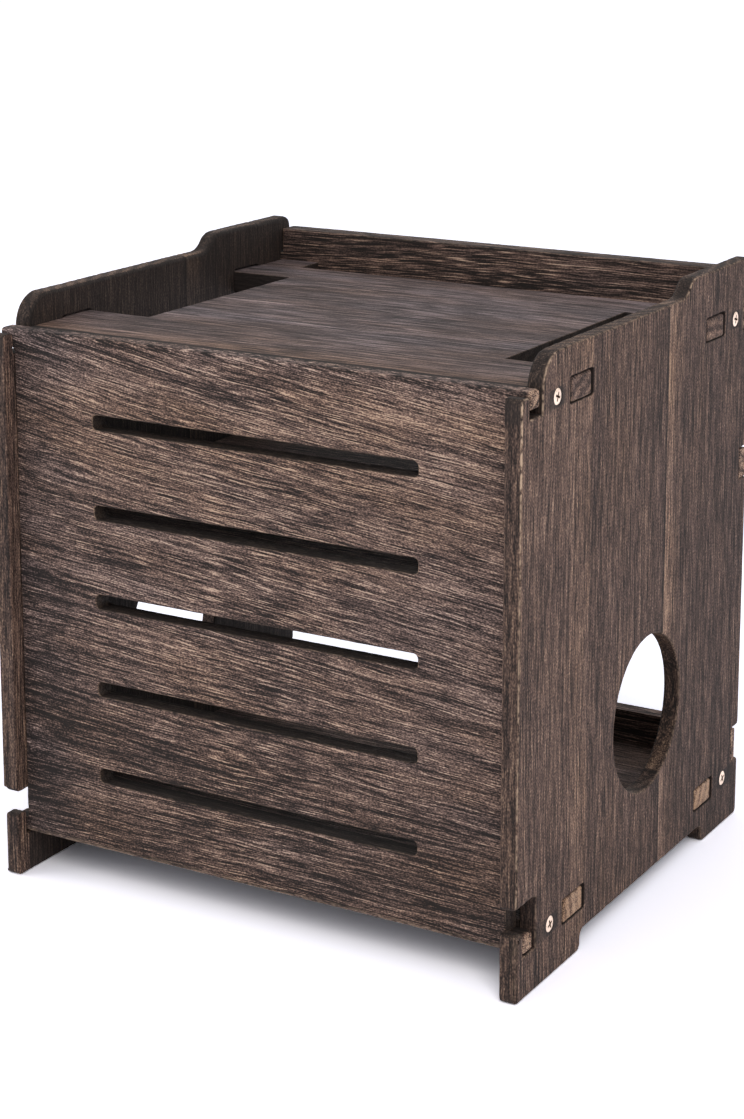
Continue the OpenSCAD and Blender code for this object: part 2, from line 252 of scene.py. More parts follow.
def grain_space(tree, grain, face):
    """Object coordinates in millimetres, turned so that X runs along the fibres and Z through the board.

    Also how far a face looks along the fibres, and 1 where it looks into the box.
    """
    order = (grain, 3 - grain - face, face)
    place = add(tree, "TexCoord", out="Object")
    scaled = add(tree, "VectorMath", {0: place, "Scale": 1 / MM}, operation="SCALE")
    parts = [add(tree, "SeparateXYZ", {0: scaled}, out=axis) for axis in order]
    turned = add(tree, "CombineXYZ", enumerate(parts))
    normal = add(tree, "TexCoord", out="Normal")
    facing = [add(tree, "SeparateXYZ", {0: normal}, out=axis) for axis in order]
    end = add(tree, "Math", {0: facing[0]}, operation="ABSOLUTE")
    half = add(tree, "Math", {0: add(tree, "SeparateXYZ", {0: turned}, out=2)}, operation="SIGN")
    looking = add(tree, "Math", {0: facing[2], 1: half}, operation="MULTIPLY")
    inward = add(tree, "Math", {0: looking, 1: -0.5}, operation="LESS_THAN")
    return turned, end, inward


def grain_layer(tree, place, size_mm, detail=2.0):
    """Uneven tone from 0 to 1 whose patches measure size_mm along, across and through the board."""
    cells = add(tree, "VectorMath", {0: place, 1: [1 / s for s in size_mm]}, operation="MULTIPLY")
    return add(tree, "TexNoise", {"Vector": cells, "Scale": 1.0, "Detail": detail}, out="Fac")


def weighed(tree, *terms):
    """Sum of tones, each multiplied by its weight."""
    total = 0.0
    for tone, weight in terms:
        total = add(tree, "Math", {0: tone, 1: weight, 2: total}, operation="MULTIPLY_ADD")
    return total


def mixed(tree, amount, below, above, blend="MIX"):
    """Lays one colour over another by an amount; each is a link or a plain colour."""
    layers = [tint if isinstance(tint, bpy.types.NodeSocket) else (*tint, 1) for tint in (below, above)]
    return add(
        tree, "Mix", {0: amount, 6: layers[0], 7: layers[1]}, out=2, data_type="RGBA", blend_type=blend
    )


def banded(tree, place, stops):
    """Honey, grey and lightness along one direction of a board, from stops at places in millimetres."""
    low, high = stops[0][0], stops[-1][0]
    spot = add(tree, "MapRange", {0: place, 1: low, 2: high})
    ramp = add(tree, "ValToRGB", {0: spot}, stops=[((mm - low) / (high - low), tone) for mm, tone in stops])
    return [add(tree, "SeparateColor", {0: ramp}, out=i) for i in range(3)]


def charred_wood(name, grain, face, look):
    """Paulownia board, charred and wire-brushed: burnt early wood lies dark in it, hard fibres stay tan.

    The brush leaves short light dashes over near-black grooves. Saw cuts stay burnt and dull, with painted
    shade on them and inside the box; edges are rubbed pale, and end grain shows its rings.
    """
    tints = bpy.context.scene.box_colours
    material = new_material(name, tints.brown)
    tree = material.node_tree
    place, end, inward = grain_space(tree, grain, face)
    along, across, through = (add(tree, "SeparateXYZ", {0: place}, out=i) for i in range(3))
    bands = banded(tree, across, look["bands"])
    ends = banded(tree, along, look["ends"])

    stave = weighed(tree, *(
        (add(tree, "Math", {0: across, 1: joint}, operation="GREATER_THAN"), 1.0)
        for joint in look.get("joints", ())
    ))
    along = add(tree, "Math", {0: stave, 1: STAVE_SHIFT, 2: along}, operation="MULTIPLY_ADD")
    place = add(tree, "CombineXYZ", {0: along, 1: across, 2: through})
    drift = grain_layer(tree, place, (320, 130, 160), 0)
    waver = grain_layer(tree, place, (30, 9, 12), 0)
    low, high = look["slopes"]
    slope = add(tree, "MapRange", {0: across, 1: 60.0, 2: 270.0, 3: low, 4: high})
    bent = weighed(tree, (across, 1.0), (along, slope), (drift, look["drift"]), (waver, 1.6))
    flow = add(tree, "CombineXYZ", {0: along, 1: bent, 2: through})

    dashes = grain_layer(tree, flow, (look["dash_mm"], 0.62, 0.8), 1)
    dashes = add(tree, "MapRange", {0: dashes, 1: 0.36, 2: 0.66}, interpolation_type="SMOOTHSTEP")
    fibres = grain_layer(tree, flow, (16, 0.6, 0.8), 1)
    fibres = add(tree, "MapRange", {0: fibres, 1: 0.32, 2: 0.68})
    specks = grain_layer(tree, flow, (1.1, 0.55, 0.6), 0)
    bristle = grain_layer(tree, flow, (14, 0.6, 0.8), 0)
    bristle = add(tree, "MapRange", {0: bristle, 1: 0.58, 2: 0.74})
    lines = grain_layer(tree, flow, (90, 2.4, 4), 1)
    lines = add(tree, "Math", {0: lines, 1: 0.5}, operation="SUBTRACT")
    lines = add(tree, "Math", {0: lines}, operation="ABSOLUTE")
    lines = add(tree, "MapRange", {0: lines, 1: 0.07, 2: 0.0})
    streaks = grain_layer(tree, flow, (110, 3.6, 5), 3)
    patches = grain_layer(tree, place, (70, 24, 40), 1)
    pith = add(tree, "VectorMath", {0: place, 1: (0, 60, 40)}, operation="SUBTRACT")
    rings = add(tree, "TexWave", {
        "Vector": pith, "Scale": 0.05, "Distortion": 3.0, "Detail": 2.0, "Detail Scale": 0.6
    }, out="Fac", wave_type="RINGS", rings_direction="X")
    rings = add(tree, "Math", {0: rings, 1: end}, operation="MULTIPLY")
    grooves = weighed(tree, (dashes, look["dashes"]), (fibres, 0.6 - look["dashes"]), (specks, look["grit"]))
    value = weighed(
        tree, (grooves, 1.0), (bristle, look["bristle"]), (lines, -look["lines"]),
        (streaks, look["streaks"]), (patches, look["patches"]), (rings, 0.3), (end, look["end"] - 0.15),
        (bands[2], 1.0), (ends[2], 1.0)
    )
    flat = add(tree, "VectorMath", {0: place, 1: (1.0, 2.0, 0.0)}, operation="MULTIPLY")
    for x, y, reach, lift in look.get("spots", ()):
        away = add(tree, "VectorMath", {0: flat, 1: (x, 2 * y, 0)}, out=1, operation="DISTANCE")
        spot = add(tree, "MapRange", {0: away, 1: reach, 2: 0.0}, interpolation_type="SMOOTHSTEP")
        value = add(tree, "Math", {0: spot, 1: lift, 2: value}, operation="MULTIPLY_ADD")
    middle = MEAN_TONE + (look["grit"] + look["streaks"] + look["patches"]) / 2 - look["tone"]
    value = add(tree, "MapRange", {0: value, 1: middle - look["span"] / 2, 2: middle + look["span"] / 2})
    wood = add(tree, "ValToRGB", {0: value}, stops=(
        (0.0, tints.char), (0.22, tints.dark), (0.5, tints.brown), (0.78, tints.tan), (1.0, tints.pale)
    ))

    bloom = grain_layer(tree, flow, (70, 22, 30), 2)
    grey = add(tree, "MapRange", {0: bloom, 1: 0.3, 2: 0.7, 3: 0.2, 4: 0.75})
    greyed = weighed(tree, (bands[1], 1.0), (ends[1], 1.0))
    greyed = add(tree, "Math", {0: greyed, 1: end}, operation="SUBTRACT")
    grey = add(tree, "Math", {0: grey, 1: greyed}, operation="MULTIPLY", use_clamp=True)
    honey = add(tree, "MapRange", {0: bloom, 1: 0.7, 2: 0.3, 3: 0.1, 4: 0.45})
    gilt = weighed(tree, (bands[0], 1.0), (ends[0], 1.0), (end, 0.4))
    honey = add(tree, "Math", {0: honey, 1: gilt}, operation="MULTIPLY", use_clamp=True)
    tint = mixed(tree, grey, wood, tints.grey, "COLOR")
    tint = mixed(tree, honey, tint, tints.honey, "COLOR")
    # Cut faces are darkened towards char by this attribute: partly the char of the saw cuts, partly painted
    # shade in slots, gaps, mortises and screw holes.
    char_and_shade = add(tree, "Attribute", out="Fac", attribute_name="char_and_shade")
    # Faces that look into the box, or down under a level board, get painted shade behind LIP_Y, weighted by
    # the look's inner value.
    behind = add(tree, "Math", {0: across, 1: LIP_Y}, operation="GREATER_THAN")
    inward = add(tree, "Math", {0: inward, 1: behind}, operation="MULTIPLY")
    char_and_shade = add(
        tree, "Math", {0: inward, 1: look["inner"], 2: char_and_shade}, operation="MULTIPLY_ADD", use_clamp=True
    )
    tint = mixed(tree, char_and_shade, tint, mixed(tree, 0.93, tint, tints.char))
    rub = add(tree, "Attribute", out="Fac", attribute_name="arris")
    chips = grain_layer(tree, place, (3.5, 2, 2), 2)
    chips = add(tree, "MapRange", {0: chips, 1: 0.4, 2: 0.62, 4: look["rub"]})
    rub = add(tree, "Math", {0: rub, 1: chips}, operation="MULTIPLY", use_clamp=True)
    tint = mixed(tree, rub, tint, tints.pale)

    rough = add(tree, "MapRange", {0: value, 3: 0.85, 4: 0.6})
    bump = add(tree, "Bump", {"Strength": 0.5, "Distance": 0.3 * MM, "Height": grooves})
    surface = add(tree, "BsdfPrincipled", {
        "Base Color": tint, "Roughness": rough, "Normal": bump, "Specular IOR Level": 0.3
    })
    add(tree, "OutputMaterial", {"Surface": surface})
    return material


def plated_brass(name):
    """Brass-plated steel, cold headed and tumbled: pale with a soft shine and spots of tarnish, with painted
    shade black in its cross.
    """
    tints = bpy.context.scene.box_colours
    material = new_material(name, tints.brass)
    tree = material.node_tree
    place = add(tree, "TexCoord", out="Object")
    cells = add(tree, "VectorMath", {0: place, "Scale": 1 / MM}, operation="SCALE")
    grime_and_shade = grain_layer(tree, cells, (1.6, 1.6, 1.6), 3)
    grime_and_shade = add(tree, "MapRange", {0: grime_and_shade, 1: 0.5, 2: 0.8, 4: 0.5})
    # The recess is marked by the attribute below and gets painted shade in the tarnish colour.
    sunk = add(tree, "Attribute", out="Fac", attribute_name="char_and_shade")
    grime_and_shade = add(tree, "Math", {0: grime_and_shade, 1: sunk}, operation="MAXIMUM")
    tint = mixed(tree, grime_and_shade, tints.brass, tints.tarnish_and_shade)
    rough = add(tree, "MapRange", {0: grime_and_shade, 3: 0.38, 4: 0.7})
    surface = add(tree, "BsdfPrincipled", {"Base Color": tint, "Metallic": 1.0, "Roughness": rough})
    add(tree, "OutputMaterial", {"Surface": surface})
    return material


def seen_rays(tree):
    """1 for rays by which the camera sees a surface straight, mirrored or through glass, else 0."""
    kinds = ("Is Camera Ray", "Is Glossy Ray", "Is Transmission Ray")
    rays = [add(tree, "LightPath", out=kind) for kind in kinds]
    seen = add(tree, "Math", {0: rays[0], 1: rays[1]}, operation="MAXIMUM")
    return add(tree, "Math", {0: seen, 1: rays[2]}, operation="MAXIMUM")


def studio_white(name, seen, bounced):
    """Matt white paper of a photo studio, bleached out to the camera but for the shadow that falls on it."""
    material = new_material(name, (1, 1, 1))
    tree = material.node_tree
    shade = mixed(tree, seen_rays(tree), [bounced] * 3, seen)
    paper = add(tree, "BsdfDiffuse", {"Color": shade})
    add(tree, "OutputMaterial", {"Surface": paper})
    return material


def cap_loops(node, axis, side):
    """Closed outlines of the flat face at the low (0) or high (1) end of a CAD node along axis.

    Points are pairs in the plane of the next two axes, with the wood on the left as seen from the high end.
    """
    mesh = frame["nodes"][node].data
    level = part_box(node)[side][axis]
    u, v = (axis + 1) % 3, (axis + 2) % 3
    edges = Counter()
    for face in mesh.polygons:
        points = [mesh.vertices[i].co for i in face.vertices]
        if all(abs(p[axis] - level) < TOUCH for p in points):
            keys = [(round(p[u], 6), round(p[v], 6)) for p in points]
            edges.update((a, b) for a, b in zip(keys, keys[1:] + keys[:1]) if a != b)
    following = {a: b for (a, b), count in edges.items() if count > edges.get((b, a), 0)}
    loops = []
    while following:
        start = min(following)
        loop = [start]
        point = following.pop(start)
        while point != start:
            loop.append(point)
            point = following.pop(point)
        loops.append([Vector(p) for p in (loop if side else reversed(loop))])
    return loops


def solid_boxes(node):
    """Lowest and highest corners of each separate solid in a CAD node, in a fixed order."""
    mesh = frame["nodes"][node].data
    keys = [tuple(round(c, 6) for c in vert.co) for vert in mesh.vertices]
    group = {key: {key} for key in keys}
    for face in mesh.polygons:
        first, *rest = (keys[i] for i in face.vertices)
        for other in rest:
            if group[other] is not group[first]:
                group[first] |= group[other]
                for key in group[other]:
                    group[key] = group[first]
    solids = {id(members): members for members in group.values()}.values()
    corners = [
        tuple(Vector([pick(p[i] for p in members) for i in range(3)]) for pick in (min, max))
        for members in solids
    ]
    return sorted(corners, key=lambda pair: tuple(pair[0]))


def filleted(loop, radius_at, steps=4):
    """The loop with its sharp corners rounded by the radius that radius_at gives for their points."""
    made = []
    for before, point, after in zip(loop[-1:] + loop[:-1], loop, loop[1:] + loop[:1]):
        back, ahead = (before - point).normalized(), (after - point).normalized()
        radius = radius_at(point)
        if not radius or back.dot(ahead) < -0.5:
            made.append(point)
            continue
        half = math.acos(max(-1, min(1, back.dot(ahead)))) / 2
        reach = min(radius / math.tan(half), 0.45 * (before - point).length, 0.45 * (after - point).length)
        middle = point + (back + ahead).normalized() * reach / math.cos(half)
        first, last = point + back * reach - middle, point + ahead * reach - middle
        for i in range(steps + 1):
            spoke = first.lerp(last, i / steps).normalized()
            made.append(middle + spoke * first.length)
    return made


def walked(loop, gap):
    """The loop with points added so that no two neighbours lie much further apart than gap."""
    points = []
    for a, b in zip(loop, loop[1:] + loop[:1]):
        count = max(1, round((b - a).length / gap))
        points += [a.lerp(b, i / count) for i in range(count)]
    return points


def outward_of_edges(loop):
    """Direction away from the wood at each edge of a loop."""
    along = [(b - a).normalized() for a, b in zip(loop, loop[1:] + loop[:1])]
    return [Vector((d.y, -d.x)) for d in along]


def outward_of_points(loop):
    """Direction away from the wood at each point of a loop, longer at corners to keep offsets as wide."""
    edges = outward_of_edges(loop)
    made = []
    for before, after in zip(edges[-1:] + edges[:-1], edges):
        mean = (before + after).normalized()
        made.append(mean / max(0.5, mean.dot(after)))
    return made


def radius_of(loop):
    """Mean distance of a loop's points from their middle, and that middle."""
    middle = sum(loop, Vector((0, 0))) / len(loop)
    return sum((p - middle).length for p in loop) / len(loop), middle


class Plate:
    """Mesh of a board with rounded and slightly worn edges, built from rings of points."""

    def __init__(self, name, axis, levels):
        """Starts an empty board whose two faces lie at levels along axis."""
        self.name = name
        self.axis = axis
        self.levels = levels
        self.points = []
        self.faces = []
        self.normals = []
        self.marks = []
        self.rims = ([], [])

    def turned(self, flat, level):
        """Vector of the frame from one in the board's plane and its part along the board's axis."""
        parts = (level, flat[0], flat[1])
        return Vector([parts[(i - self.axis) % 3] for i in range(3)])

    def ring(self, points, marks=None):
        """Adds points, pairs in the plane with a level, their char and painted shade, their rub, and returns
        their numbers.
        """
        first = len(self.points)
        self.points += [self.turned(flat, level) for flat, level in points]
        self.marks += marks or [(0, 0)] * len(points)
        return list(range(first, len(self.points)))

    def strip(self, lower, upper, loop, tilts):
        """Joins two rings by a strip of faces, tilted from the plane by an angle at each ring."""
        sharp = math.cos(math.radians(40))
        edges = outward_of_edges(loop)
        count = len(loop)
        for i in range(count):
            j = (i + 1) % count
            here, before, after = edges[i], edges[i - 1], edges[j]
            starts = (here + before).normalized() if here.dot(before) > sharp else here
            ends = (here + after).normalized() if here.dot(after) > sharp else here
            self.faces.append((lower[i], lower[j], upper[j], upper[i]))
            corners = ((starts, tilts[0]), (ends, tilts[0]), (ends, tilts[1]), (starts, tilts[1]))
            self.normals += [self.turned(out * math.cos(tilt), math.sin(tilt)) for out, tilt in corners]

    def wall(self, loop, eases, steps):
        """Runs a loop through the board.

        For each point eases has its edge radii on the low and the high face, how dark the cut is from char
        and painted shade, and how far each of the two edges is rubbed.
        """
        outward = outward_of_points(loop)
        turns = [math.pi / 2 * i / steps for i in range(steps + 1)]
        profile = [(0, turn) for turn in reversed(turns)] + [(1, turn) for turn in turns]
        rings = []
        for side, turn in profile:
            points = []
            for point, out, ease in zip(loop, outward, eases):
                sunk = ease[side] * (1 - math.sin(turn))
                level = self.levels[side] - (sunk if side else -sunk)
                points.append((point - out * ease[side] * (1 - math.cos(turn)), level))
            marks = [(ease[2] * math.cos(turn), ease[3 + side] * math.sin(2 * turn) ** 3) for ease in eases]
            rings.append(self.ring(points, marks))
        tilts = [turn if side else -turn for side, turn in profile]
        for i in range(len(rings) - 1):
            self.strip(rings[i], rings[i + 1], loop, tilts[i:i + 2])
        self.rims[0].append(rings[0])
        self.rims[1].append(rings[-1])

    def countersink(self, middle, head_r, hole_r, side, count=32):
        """Drills a screw hole whose cone opens on one face."""
        sign = 1 if side else -1
        mouth = self.levels[side]
        turns = [2 * math.pi * i / count for i in range(count)]
        around = [Vector((math.cos(turn), -math.sin(turn))) for turn in turns]
        throat = mouth - sign * (head_r - hole_r)
        places = [(head_r, mouth), (hole_r, throat), (hole_r, self.levels[1 - side])]
        tilts = [(sign * math.pi / 4, sign * math.pi / 4), (0, 0)]
        # The cone and the hole are darkened fully: the char of the drilled cut with painted shade round the
        # screw.
        burnt = [(1, 0)] * count
        rings = [self.ring([(middle + d * r, level) for d in around], burnt) for r, level in places]
        for i, tilt in enumerate(tilts):
            pair = (rings[i + 1], rings[i]) if side else (rings[i], rings[i + 1])
            self.strip(*pair, around, tilt)
        self.rims[side].append(rings[0])
        self.rims[1 - side].append(rings[-1])

    def pocket(self, corners, side, depth):
        """Sinks a flat-bottomed groove into one face."""
        sign = 1 if side else -1
        floor = self.levels[side] - sign * depth
        # The groove's walls are darkened: the char of the cut with painted shade in the groove.
        burnt = [(0.8, 0)] * len(corners)
        top = self.ring([(p, self.levels[side]) for p in corners], burnt)
        low = self.ring([(p, floor) for p in corners], burnt)
        pair = (low, top) if side else (top, low)
        self.strip(*pair, corners, (0, 0))
        self.rims[side].append(top)
        self.faces.append(tuple(reversed(low)) if side else tuple(low))
        self.normals += [self.turned((0, 0), sign)] * len(low)

    def cap(self, side):
        """Closes one face of the board between all its rims."""
        sign = 1 if side else -1
        numbers = [i for rim in self.rims[side] for i in rim]
        u, v = (self.axis + 1) % 3, (self.axis + 2) % 3
        flats = [[Vector((self.points[i][u], self.points[i][v], 0)) for i in rim] for rim in self.rims[side]]
        for triangle in tessellate_polygon(flats):
            a, b, c = (numbers[i] for i in triangle)
            span = (self.points[b] - self.points[a]).cross(self.points[c] - self.points[a])
            self.faces.append((a, b, c) if span[self.axis] * sign > 0 else (a, c, b))
            self.normals += [self.turned((0, 0), sign)] * 3

    def finished(self):
        """Closes both faces and returns the board as an object."""
        self.cap(0)
        self.cap(1)
        mesh = bpy.data.meshes.new(self.name)
        mesh.from_pydata(self.points, [], self.faces)
        mesh.shade_smooth()
        mesh.normals_split_custom_set(self.normals)
        for name, values in zip(("char_and_shade", "arris"), zip(*self.marks)):
            mesh.attributes.new(name, "FLOAT", "POINT").data.foreach_set("value", values)
        made = bpy.data.objects.new(self.name, mesh)
        bpy.context.scene.collection.objects.link(made)
        return made


def worn(loop, axis, grain, seed):
    """Draws each point of a loop into the wood a little, more where the edge crosses the fibres."""
    sizes = bpy.context.scene.board_sizes
    flat_grain = (grain - axis - 1) % 3
    made = []
    for point, out in zip(loop, outward_of_points(loop)):
        spot = Vector((point.x, point.y, 0)) / MM
        across = abs(out.normalized()[flat_grain]) if flat_grain < 2 else 0
        depth = sizes.side_chip + (sizes.end_chip - sizes.side_chip) * across
        rough = 0.6 * noise.noise(spot / 2.3 + seed) + 0.4 * noise.noise(spot / 17 + seed)
        made.append(point - out * depth * min(1, max(0, 0.5 + rough)))
    return made


def board(node, axis, grain, ease, outer_side=1, body_half=0, pockets=(), seed=0, corner_at=lambda point: 0):
    """Builds the worn board that stands for a CAD node.

    For a point of its outline ease gives the two edge radii, how dark the cut is from char and painted
    shade, and the rub of both edges, and corner_at the radius of a sharp corner. With body_half the outline
    is grown to the node's full size, and to that half width between the tabs. A small round loop is a screw
    hole, wide on the outer side.
    """
    sizes = bpy.context.scene.board_sizes
    screws = bpy.context.scene.screw_sizes
    low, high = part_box(node)
    plate = Plate(node + ".worn", axis, (low[axis], high[axis]))
    drift = Vector((seed, 3.7 * seed, 1.9 * seed))
    u, v = (axis + 1) % 3, (axis + 2) % 3
    for loop in cap_loops(node, axis, outer_side):
        radius, middle = radius_of(loop)
        if radius < screws.case_head * SCREW_HOLE:
            shank = screws.case_shank if radius > screws.rail_head * SCREW_HOLE else screws.rail_shank
            plate.countersink(middle, radius, shank / 2 + screws.gap, outer_side)
            continue
        if body_half:
            ends = [[min(p[i] for p in loop), max(p[i] for p in loop)] for i in range(2)]
            whole = max(ends[0]) - min(ends[0]) > 0.7 * (high[u] - low[u])
            for point in loop if whole else ():
                for i, side_axis in enumerate((u, v)):
                    for end, limit in zip(ends[i], (low, high)):
                        if abs(point[i] - end) < TOUCH:
                            point[i] = limit[side_axis]
                if abs(point[1]) < high[v] - NEAR:
                    point[1] = math.copysign(body_half, point[1])
        loop = filleted(loop, lambda point: corner_at(plate.turned(point, 0)))
        loop = walked(loop, sizes.point_gap)
        outward = outward_of_points(loop)
        eases = [
            ease(plate.turned(point, 0), plate.turned(out.normalized(), 0))
            for point, out in zip(loop, outward)
        ]
        loop = worn(loop, axis, grain, drift)
        plate.wall(loop, eases, sizes.ease_steps)
    for corners, side, depth in pockets:
        plate.pocket(corners, side, depth)
    return plate.finished()


def dress(piece, node, material):
    """Gives a piece its material and its body, and lets it stand for a CAD node."""
    record = frame["record"]
    piece.data.materials.clear()
    piece.data.materials.append(material)
    body = next(name for name, nodes in record["behaviour"]["bodies"].items() if node in nodes)
    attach(piece, body)
    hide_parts(node)


def material_named(name, make, *values):
    """The material of that name, made when it is first asked for."""
    return bpy.data.materials.get(name) or make(name, *values)


class ROUTERBOX_OT_side_panels(bpy.types.Operator):
    """Build the two side panels with their ports, hooks, mortises and notches"""

    bl_idname = "routerbox.side_panels"
    bl_label = "Side panels"
    bl_options = {"REGISTER", "UNDO"}

    def execute(self, context):
        """Builds both panels around the outlines of their CAD nodes."""
        sizes = context.scene.board_sizes
        wood = material_named("charred_side_wood", charred_wood, Z, X, SIDE_LOOK)
        shelf_low, shelf_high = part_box("middle_shelf")
        gap = sizes.groove_gap
        low, high = shelf_low - Vector((gap, gap, gap)), shelf_high + Vector((gap, gap, gap))
        groove = [Vector(p) for p in ((low.y, low.z), (low.y, high.z), (high.y, high.z), (high.y, low.z))]
        rim_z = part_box("top_board")[0].z
        mortises = self.mortise_boxes()
        # Depth and heights of the lower and upper hooks, and the length of worn edge down from the lip.
        hook_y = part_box("front_panel")[1].y + NEAR
        lip_z = 290 * MM
        hooks = ((33 * MM, 48 * MM), (277 * MM, lip_z))
        lip_wear = 45 * MM
        for seed, (node, side) in enumerate((("left_side_panel", 0), ("right_side_panel", 1)), 1):
            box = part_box(node)
            depth = high.x - box[0].x if side else box[1].x - low.x

            def in_mortise(point):
                """Whether a point of the outline lies on the wall of a mortise."""
                return any(a.y < point.y < b.y and a.z < point.z < b.z for a, b in mortises)

            def ease(point, out, side=side):
                """Edge radii, char with painted shade, and rub: tight in mortises, soft on the rim, at hooks
                and at feet.
                """
                # Mortise walls are darkened fully: the char of the cut with painted shade in the mortise.
                if in_mortise(point):
                    return sizes.cut_ease, sizes.cut_ease, 1, 0, 0
                inner, outer, char_and_shade, rub = sizes.ease, sizes.ease, 0.6, 0.3
                if point.z > rim_z and out.z > -0.3:
                    inner, char_and_shade, rub = sizes.rim_ease, 0.55, 0.4
                    if out.y < -0.2:
                        char_and_shade, rub = 0.9, 1
                if out.y < -0.9 and point.y < box[0].y + NEAR:
                    char_and_shade = 0.5
                # Hook slot walls are darkened almost fully: the char of the cut with painted shade in the
                # slot.
                if point.y < hook_y and any(a < point.z < b for a, b in hooks):
                    inner, outer = sizes.cut_ease, sizes.ease if point.z > rim_z else sizes.hook_ease
                    char_and_shade, rub = 0.92, 0.9 if point.z > rim_z else 0.2
                if point.y < box[0].y + NEAR:
                    rub = 0.9
                    if point.z < hooks[0][1]:
                        inner, outer, rub = 1.5 * sizes.ease, sizes.hook_ease, 0.15
                    if lip_z - lip_wear < point.z < lip_z:
                        rub = 2.6
                return (inner, outer, char_and_shade, 0, rub) if side else (outer, inner, char_and_shade, rub, 0)

            piece = board(
                node, X, Z, ease, outer_side=side, pockets=[(groove, 1 - side, depth)], seed=seed,
                corner_at=lambda point: sizes.corner if in_mortise(point) else 0
            )
            dress(piece, node, wood)
        return {"FINISHED"}

    def mortise_boxes(self):
        """The two boards' boxes, grown a little upwards and kept clear of the notches at their ends."""
        margin = Vector((0, 0, 2 * MM))
        inset = Vector((0, 10 * MM, 0))
        boxes = [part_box(node) for node in ("top_board", "bottom_board")]
        return [(low - margin + inset, high + margin - inset) for low, high in boxes]


class ROUTERBOX_OT_front_panel(bpy.types.Operator):
    """Build the slotted front panel that lifts off its hooks"""

    bl_idname = "routerbox.front_panel"
    bl_label = "Front panel"
    bl_options = {"REGISTER", "UNDO"}

    def execute(self, context):
        """Builds the panel around its CAD node's front face, grown back to the full outline."""
        sizes = context.scene.board_sizes
        wood = material_named("charred_front_wood", charred_wood, X, Y, FRONT_LOOK)
        low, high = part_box("front_panel")
        tab = 12 * MM
        tip = 2 * MM

        def corner_at(point):
            """Radius of a corner at the end of a tab, and under an upper tab where it leaves the panel."""
            if abs(point.x) > high.x - tip:
                return sizes.corner
            if abs(point.x) > high.x - tab and high.z - tab < point.z < high.z - NEAR:
                return sizes.root
            return 0

        def ease(point, out):
            """Edge radii, char with painted shade, and rub: a wide round below, softer long edges, small
            ones in the slots.
            """
            if point.z < low.z + NEAR and out.z < -0.5:
                return sizes.panel_low_ease, sizes.panel_ease, 0.5, 0.7, 0
            if point.z > high.z - NEAR and out.z > 0.5:
                return sizes.panel_ease, sizes.panel_ease, 0.1, 0, 0
            if abs(point.x) > high.x - tip:
                return sizes.tab_ease, sizes.tab_ease, 0, 0.3, 0
            # Tab notches and vent slots have fully darkened walls: the char of the cut with painted shade in
            # the slot.
            if abs(point.x) > high.x - tab:
                return sizes.cut_ease, sizes.cut_ease, 1, 0.3, 0
            return sizes.slot_ease, sizes.slot_ease, 1, 0.2, 0

        piece = board(
            "front_panel", Y, X, ease, outer_side=0, seed=3,
            body_half=-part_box("left_side_panel")[1].x - sizes.side_gap, corner_at=corner_at
        )
        dress(piece, "front_panel", wood)
        return {"FINISHED"}


class ROUTERBOX_OT_boards(bpy.types.Operator):
    """Build the top board, the bottom board and the middle shelf"""

    bl_idname = "routerbox.boards"
    bl_label = "Boards"
    bl_options = {"REGISTER", "UNDO"}

    def execute(self, context):
        """Builds the three level boards."""
        sizes = context.scene.board_sizes
        top = material_named("charred_top_wood", charred_wood, X, Z, TOP_LOOK)
        inner = material_named("charred_inner_wood", charred_wood, X, Z, INNER_LOOK)
        # Beyond inside a board is tenon, and beyond tenon_x lie only the corners of tenons.
        inside = -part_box("left_side_panel")[1].x + 0.5 * MM
        tenon_x = inside + 6 * MM
        front_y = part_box("front_panel")[1].y + 3 * MM

        def ease(point, out):
            """Edge radii, char with painted shade, and rub: tenons are rounder, and what faces a gap is
            darkened by char and painted shade.
            """
            if abs(point.x) > inside and abs(out.x) > 0.9:
                return sizes.tenon_ease / 2, sizes.tenon_ease / 2, 0.1, 1, 0
            if abs(point.x) > inside:
                return sizes.tenon_ease, sizes.tenon_ease, 1, 0, 0
            return sizes.ease, sizes.cut_ease, 1, 0, 0.3 if point.y > front_y else 0

        made = (("top_board", top), ("bottom_board", inner), ("middle_shelf", inner))
        for seed, (node, wood) in enumerate(made, 4):
            piece = board(
                node, Z, X, ease, seed=seed,
                corner_at=lambda point: sizes.tenon_ease if abs(point.x) > tenon_x else 0
            )
            dress(piece, node, wood)
        return {"FINISHED"}


class ROUTERBOX_OT_rails(bpy.types.Operator):
    """Build the three rear rails"""

    bl_idname = "routerbox.rails"
    bl_label = "Rear rails"
    bl_options = {"REGISTER", "UNDO"}

    def execute(self, context):
        """Builds the top rail and bevels the CAD meshes of the two lower ones."""
        sizes = context.scene.board_sizes
        wood = material_named("charred_rail_wood", charred_wood, X, Y, RAIL_LOOK)
        eased = (sizes.ease, sizes.ease, 0.5, 0.4, 0.2)
        piece = board("rear_top_rail", Y, X, lambda point, out: eased, seed=7)
        dress(piece, "rear_top_rail", wood)
        for node in ("rear_middle_rail", "rear_bottom_rail"):
            rail = frame["nodes"][node]
            rail.data.materials.clear()
            rail.data.materials.append(wood)
            weld = rail.modifiers.new("weld", "WELD")
            weld.merge_threshold = TOUCH
            bevel = rail.modifiers.new("ease", "BEVEL")
            bevel.width = sizes.ease / 2
            bevel.segments = 3
        return {"FINISHED"}


